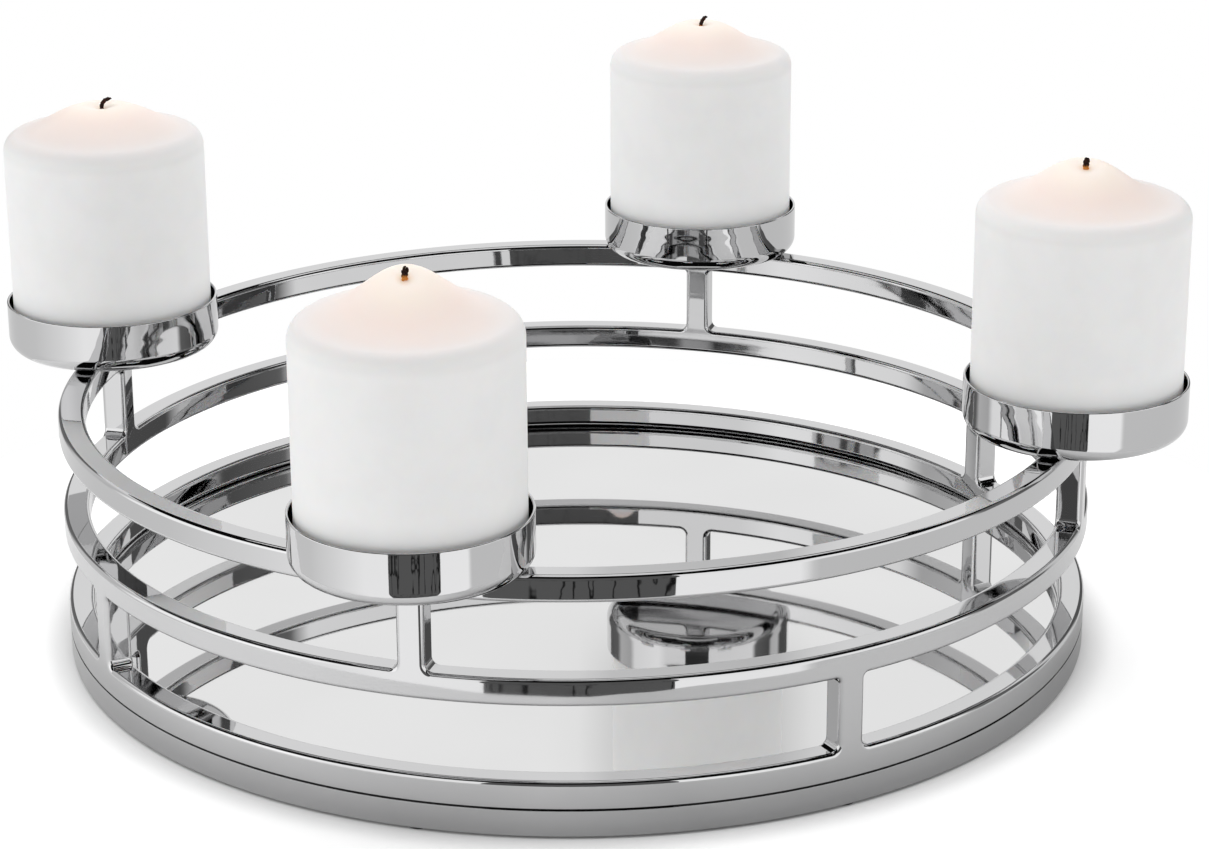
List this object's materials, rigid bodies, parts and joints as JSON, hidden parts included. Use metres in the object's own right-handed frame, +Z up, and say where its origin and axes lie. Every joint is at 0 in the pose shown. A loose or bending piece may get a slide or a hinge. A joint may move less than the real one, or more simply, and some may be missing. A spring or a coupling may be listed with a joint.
{
  "type": "advent candle holder",
  "caption": "Round polished metal advent candle holder: stacked rings on short posts round a mirror floor, with raised dishes on the top ring that hold pillar candles.",
  "frame": {"origin": "centre of the base, on the surface it stands on", "axes": "+Z up; the dishes lie on -Y (front), +X (right), +Y (back) and -X (left)"},
  "size_m": [0.474, 0.474, 0.2027],
  "materials": {
    "polished_metal": "mirror polished",
    "mirror_plate": "mirror polished sheet",
    "screw_steel": "plain zinc plated",
    "felt": "pressed felt",
    "wax": "smooth satin candle wax",
    "wick": "braided cotton, charred"
  },
  "bodies": {
    "holder": {"foot_ring": "polished_metal", "floor_plate": "mirror_plate", "bottom_ring": "polished_metal", "middle_ring": "polished_metal", "top_ring": "polished_metal", "post_front_right": "polished_metal", "post_back_right": "polished_metal", "post_back_left": "polished_metal", "post_front_left": "polished_metal", "post_front": "polished_metal", "post_right": "polished_metal", "post_back": "polished_metal", "post_left": "polished_metal", "dish_front": "polished_metal", "dish_right": "polished_metal", "dish_back": "polished_metal", "dish_left": "polished_metal", "dish_screws": "screw_steel", "base_screws": "screw_steel", "felt_pads": "felt"},
    "front_candle": {"candle_front": "wax", "wick_front": "wick"},
    "right_candle": {"candle_right": "wax", "wick_right": "wick"},
    "back_candle": {"candle_back": "wax", "wick_back": "wick"},
    "left_candle": {"candle_left": "wax", "wick_left": "wick"}
  },
  "joints": [
    {"name": "lift_front", "type": "slide", "parent": "holder", "child": "front_candle", "axis": [0, 0, 1], "range_m": [0, 0.04]},
    {"name": "lift_right", "type": "slide", "parent": "holder", "child": "right_candle", "axis": [0, 0, 1], "range_m": [0, 0.04]},
    {"name": "lift_back", "type": "slide", "parent": "holder", "child": "back_candle", "axis": [0, 0, 1], "range_m": [0, 0.04]},
    {"name": "lift_left", "type": "slide", "parent": "holder", "child": "left_candle", "axis": [0, 0, 1], "range_m": [0, 0.04]}
  ]
}
